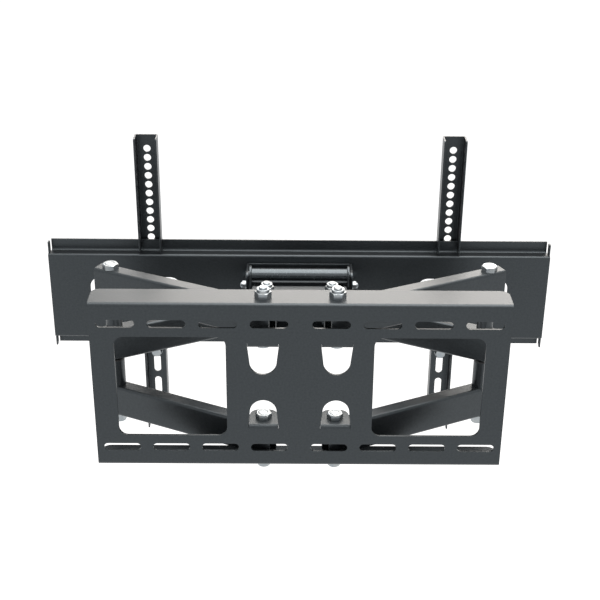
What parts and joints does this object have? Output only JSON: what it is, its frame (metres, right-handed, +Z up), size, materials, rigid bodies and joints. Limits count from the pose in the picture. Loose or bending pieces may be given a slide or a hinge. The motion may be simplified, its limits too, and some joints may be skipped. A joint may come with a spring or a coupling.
{
  "type": "tv wall mount",
  "caption": "Black steel television wall mount: slotted wall plate, folding arms on both sides, tilting head, and uprights that hook over a long rail.",
  "frame": {"origin": "centre of the wall plate's wall side", "axes": "+Z up, +Y away from the wall towards the television, +X along the wall to the right as seen from the wall"},
  "size_m": [0.674, 0.2859, 0.4345],
  "materials": {
    "black_steel": "satin",
    "zinc": "satin",
    "nylon": "matt"
  },
  "bodies": {
    "wall_body": {"wall_plate": "black_steel", "upper_wall_bolts": "zinc", "lower_wall_bolts": "zinc", "upper_wall_nuts": "zinc", "lower_wall_nuts": "zinc"},
    "left_arm_body": {"left_upper_arm": "black_steel", "left_lower_arm": "black_steel", "left_upper_spacer": "black_steel", "left_lower_spacer": "black_steel", "left_arm_bushes": "nylon", "left_elbow_bolt": "zinc", "left_elbow_nut": "zinc"},
    "right_arm_body": {"right_upper_arm": "black_steel", "right_lower_arm": "black_steel", "right_upper_spacer": "black_steel", "right_lower_spacer": "black_steel", "right_arm_bushes": "nylon", "right_elbow_bolt": "zinc", "right_elbow_nut": "zinc"},
    "left_forearm_body": {"left_forearm": "black_steel", "left_forearm_bushes": "nylon"},
    "right_forearm_body": {"right_forearm": "black_steel", "right_forearm_bushes": "nylon"},
    "head_body": {"head_bracket": "black_steel", "head_bolts": "zinc", "head_nuts": "zinc", "tilt_tube": "black_steel", "tilt_lock_bolts": "zinc", "tilt_lock_washers": "zinc", "tilt_lock_nuts": "zinc"},
    "tv_body": {"tv_bracket": "black_steel", "tilt_pin": "zinc", "tv_plate": "black_steel"},
    "left_upright_body": {"left_upright": "black_steel", "left_stop_screw": "zinc"},
    "right_upright_body": {"right_upright": "black_steel", "right_stop_screw": "zinc"}
  },
  "joints": [
    {"name": "extend", "type": "hinge", "parent": "wall_body", "child": "left_arm_body", "pos_m": [-0.0427, 0.02, 0], "axis": [0, 0, -1], "range_deg": [-24, 52]},
    {"name": "left_elbow", "type": "hinge", "parent": "left_arm_body", "child": "left_forearm_body", "pos_m": [-0.2292, 0.11096, 0], "axis": [0, 0, -1], "range_deg": [-104, 48]},
    {"name": "head_turn", "type": "hinge", "parent": "left_forearm_body", "child": "head_body", "pos_m": [-0.0427, 0.20192, 0], "axis": [0, 0, -1], "range_deg": [-24, 52]},
    {"name": "right_shoulder", "type": "hinge", "parent": "wall_body", "child": "right_arm_body", "pos_m": [0.0427, 0.02, 0], "axis": [0, 0, -1], "range_deg": [-52, 24]},
    {"name": "right_elbow", "type": "hinge", "parent": "right_arm_body", "child": "right_forearm_body", "pos_m": [0.2292, 0.11096, 0], "axis": [0, 0, -1], "range_deg": [-48, 104]},
    {"name": "tilt", "type": "hinge", "parent": "head_body", "child": "tv_body", "pos_m": [0, 0.24492, 0.0304], "axis": [-1, 0, 0], "range_deg": [-5, 12]},
    {"name": "left_slide", "type": "slide", "parent": "tv_body", "child": "left_upright_body", "axis": [1, 0, 0], "range_m": [-0.1, 0.1]},
    {"name": "right_slide", "type": "slide", "parent": "tv_body", "child": "right_upright_body", "axis": [1, 0, 0], "range_m": [-0.1, 0.1]}
  ],
  "couplings": [
    {"joint": "left_elbow", "follows": "extend", "ratio": -2},
    {"joint": "head_turn", "follows": "extend", "ratio": 1},
    {"joint": "right_shoulder", "follows": "extend", "ratio": -1},
    {"joint": "right_elbow", "follows": "extend", "ratio": 2}
  ]
}
